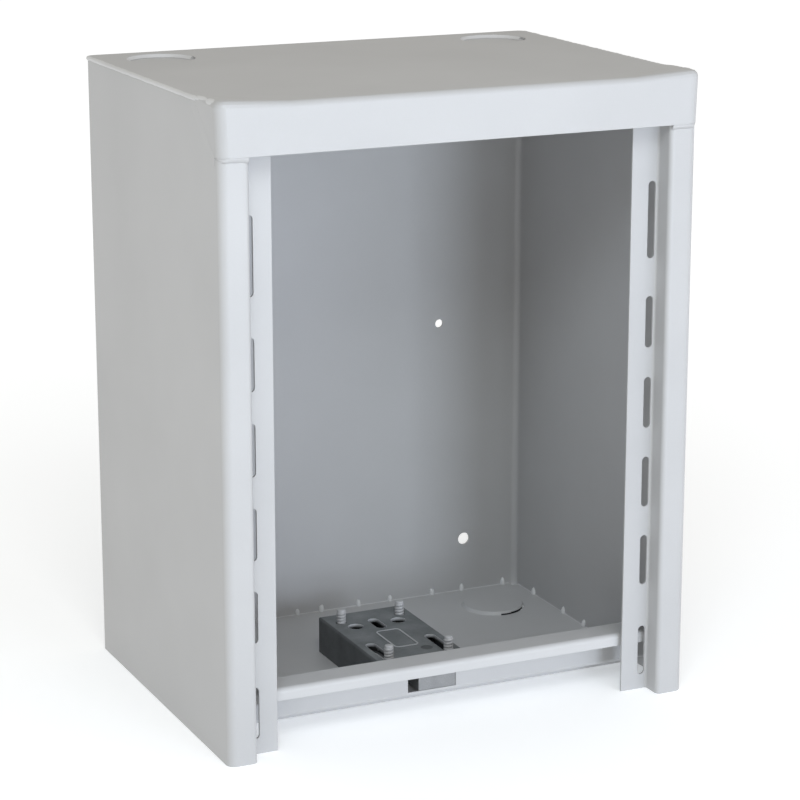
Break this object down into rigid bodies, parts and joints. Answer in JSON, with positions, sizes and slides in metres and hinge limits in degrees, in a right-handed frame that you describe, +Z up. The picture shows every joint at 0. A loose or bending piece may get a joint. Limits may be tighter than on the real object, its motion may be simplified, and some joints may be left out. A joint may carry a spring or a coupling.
{
  "type": "roadside utility cabinet",
  "caption": "Wall-hung sheet-steel equipment cabinet with hooded top, slotted door jambs, cable knockouts and a floor-mounted lever lock whose bolt slides under the sill; door off.",
  "frame": {"origin": "middle of the footprint at ground level", "axes": "+Z up, -Y out of the open front, +X to the right seen from the front"},
  "size_m": [0.4036, 0.302, 0.5126],
  "materials": {
    "paint": "fine powder coat",
    "case": "matt grey",
    "steel": "milled",
    "spring": "blued"
  },
  "bodies": {
    "cabinet": {"body_shell": "paint", "top_hood": "paint", "base_pan": "paint", "lock_studs": "paint", "lock_case": "case", "lock_cover_plate": "case", "cover_screws": "steel", "bolt_guide_pin": "steel", "lever_post": "steel", "lever_washers": "steel", "spring_block": "steel", "lever_springs": "spring"},
    "bolt": {"lock_bolt": "steel"},
    "first_lever": {"lever_1": "steel"},
    "second_lever": {"lever_2": "steel"},
    "third_lever": {"lever_3": "steel"},
    "fourth_lever": {"lever_4": "steel"},
    "fifth_lever": {"lever_5": "steel"},
    "sixth_lever": {"lever_6": "steel"}
  },
  "joints": [
    {"name": "bolt_slide", "type": "slide", "parent": "cabinet", "child": "bolt", "axis": [0, -1, 0], "range_m": [0, 0.018]},
    {"name": "first_lever_swing", "type": "hinge", "parent": "cabinet", "child": "first_lever", "pos_m": [0.0115, -0.033, 0.0155], "axis": [0, 0, -1], "range_deg": [-2.5, 2]},
    {"name": "second_lever_swing", "type": "hinge", "parent": "cabinet", "child": "second_lever", "pos_m": [0.0115, -0.033, 0.0155], "axis": [0, 0, -1], "range_deg": [-2.5, 2]},
    {"name": "third_lever_swing", "type": "hinge", "parent": "cabinet", "child": "third_lever", "pos_m": [0.0115, -0.033, 0.0155], "axis": [0, 0, -1], "range_deg": [-2.5, 2]},
    {"name": "fourth_lever_swing", "type": "hinge", "parent": "cabinet", "child": "fourth_lever", "pos_m": [0.0115, -0.033, 0.0155], "axis": [0, 0, -1], "range_deg": [-2.5, 2]},
    {"name": "fifth_lever_swing", "type": "hinge", "parent": "cabinet", "child": "fifth_lever", "pos_m": [0.0115, -0.033, 0.0155], "axis": [0, 0, -1], "range_deg": [-2.5, 2]},
    {"name": "sixth_lever_swing", "type": "hinge", "parent": "cabinet", "child": "sixth_lever", "pos_m": [0.0115, -0.033, 0.0155], "axis": [0, 0, -1], "range_deg": [-2.5, 2]}
  ]
}
